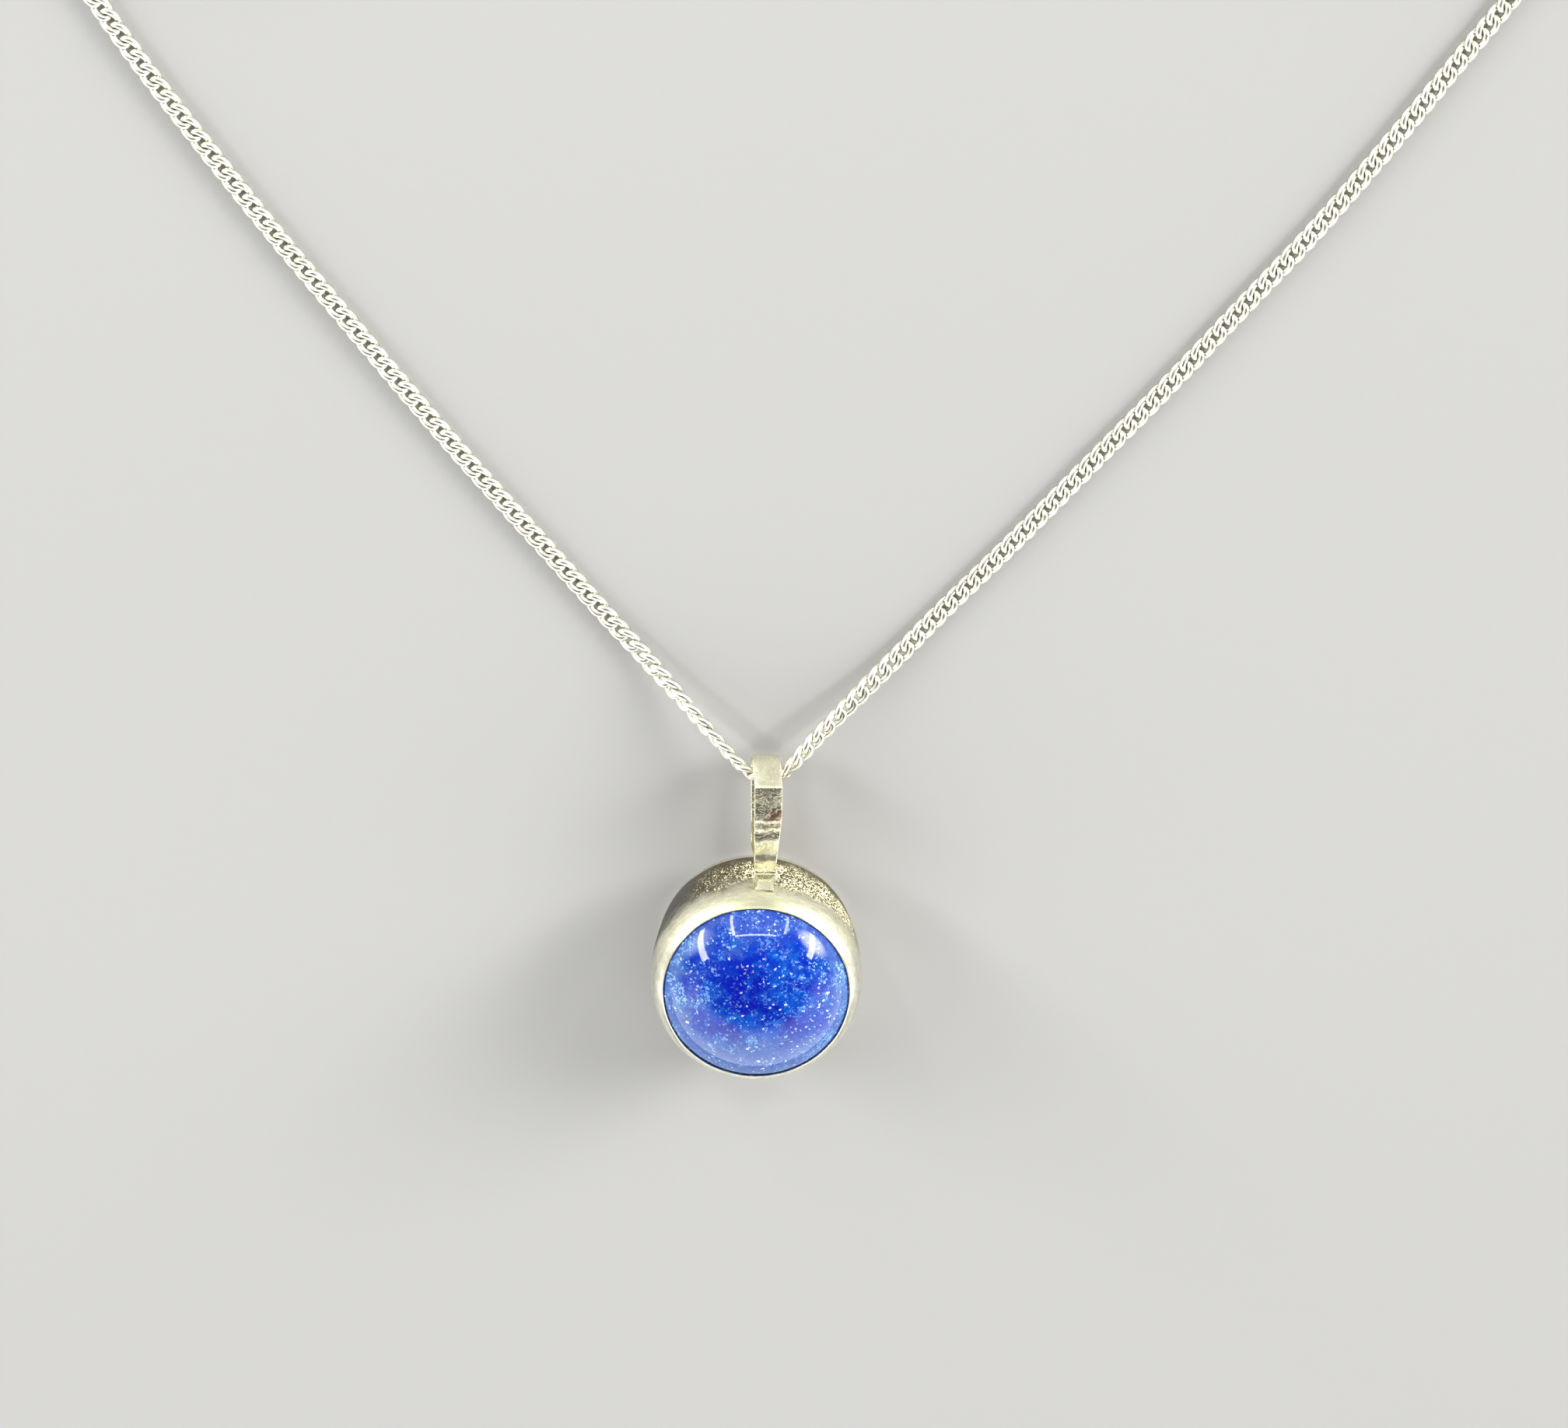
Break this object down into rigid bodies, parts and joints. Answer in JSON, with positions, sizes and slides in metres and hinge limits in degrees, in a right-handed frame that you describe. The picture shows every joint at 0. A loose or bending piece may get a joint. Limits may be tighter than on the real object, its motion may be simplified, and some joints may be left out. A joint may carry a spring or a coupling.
{
  "type": "pendant necklace",
  "caption": "Round domed blue stone in a deep silver bezel with a strap bail, on a fine curb chain with a spring ring clasp.",
  "frame": {"origin": "centre of the back plate's underside, where the pendant rests", "axes": "+Z out through the stone, +Y from the stone to the bail, +X to the right as seen from the front"},
  "size_m": [0.0964, 0.091, 0.0095],
  "materials": {
    "bezel_silver": "brushed silver, grainy towards the back, bright along the rim",
    "bail_silver": "polished silver with fine scratches",
    "chain_silver": "polished silver",
    "findings_silver": "polished silver",
    "spring_steel": "bright drawn wire",
    "lapis": "polished"
  },
  "bodies": {
    "chain": {"chain_left_run": "chain_silver", "chain_left_coil": "chain_silver", "chain_left_tail": "chain_silver", "left_end_link": "chain_silver", "chain_right_run": "chain_silver", "chain_right_coil": "chain_silver", "chain_right_tail": "chain_silver", "right_end_link": "chain_silver"},
    "pendant": {"bezel_wall": "bezel_silver", "back_plate": "bezel_silver", "stone_seat": "bezel_silver", "cabochon": "lapis", "bail": "bail_silver"},
    "clasp_link": {"clasp_jump_ring": "findings_silver"},
    "clasp": {"clasp_eye": "findings_silver", "clasp_body": "findings_silver", "clasp_spring": "spring_steel"},
    "gate": {"clasp_gate": "findings_silver", "clasp_thumb_knob": "findings_silver"},
    "catch_link": {"catch_jump_ring": "findings_silver"}
  },
  "joints": [
    {"name": "pendant_swing", "type": "hinge", "parent": "chain", "child": "pendant", "pos_m": [0.00062, 0.01315, 0.0027], "axis": [-1, 0, 0], "range_deg": [0, 155]},
    {"name": "clasp_link_swing", "type": "hinge", "parent": "chain", "child": "clasp_link", "pos_m": [-0.022, 0.081, 0.00085], "axis": [0, 0, 1], "range_deg": [-60, 60]},
    {"name": "clasp_lift", "type": "hinge", "parent": "clasp_link", "child": "clasp", "pos_m": [-0.02024, 0.081, 0.00085], "axis": [0, -1, 0], "range_deg": [0, 120]},
    {"name": "gate_slide", "type": "hinge", "parent": "clasp", "child": "gate", "pos_m": [-0.01673, 0.081, 0.00085], "axis": [0, 0, 1], "range_deg": [0, 70], "stiffness_Nm_per_rad": 0.0015, "deforming": ["clasp_spring"]},
    {"name": "catch_link_swing", "type": "hinge", "parent": "chain", "child": "catch_link", "pos_m": [0.0284, 0.0812, 0.00085], "axis": [0, 0, 1], "range_deg": [-60, 60]}
  ]
}
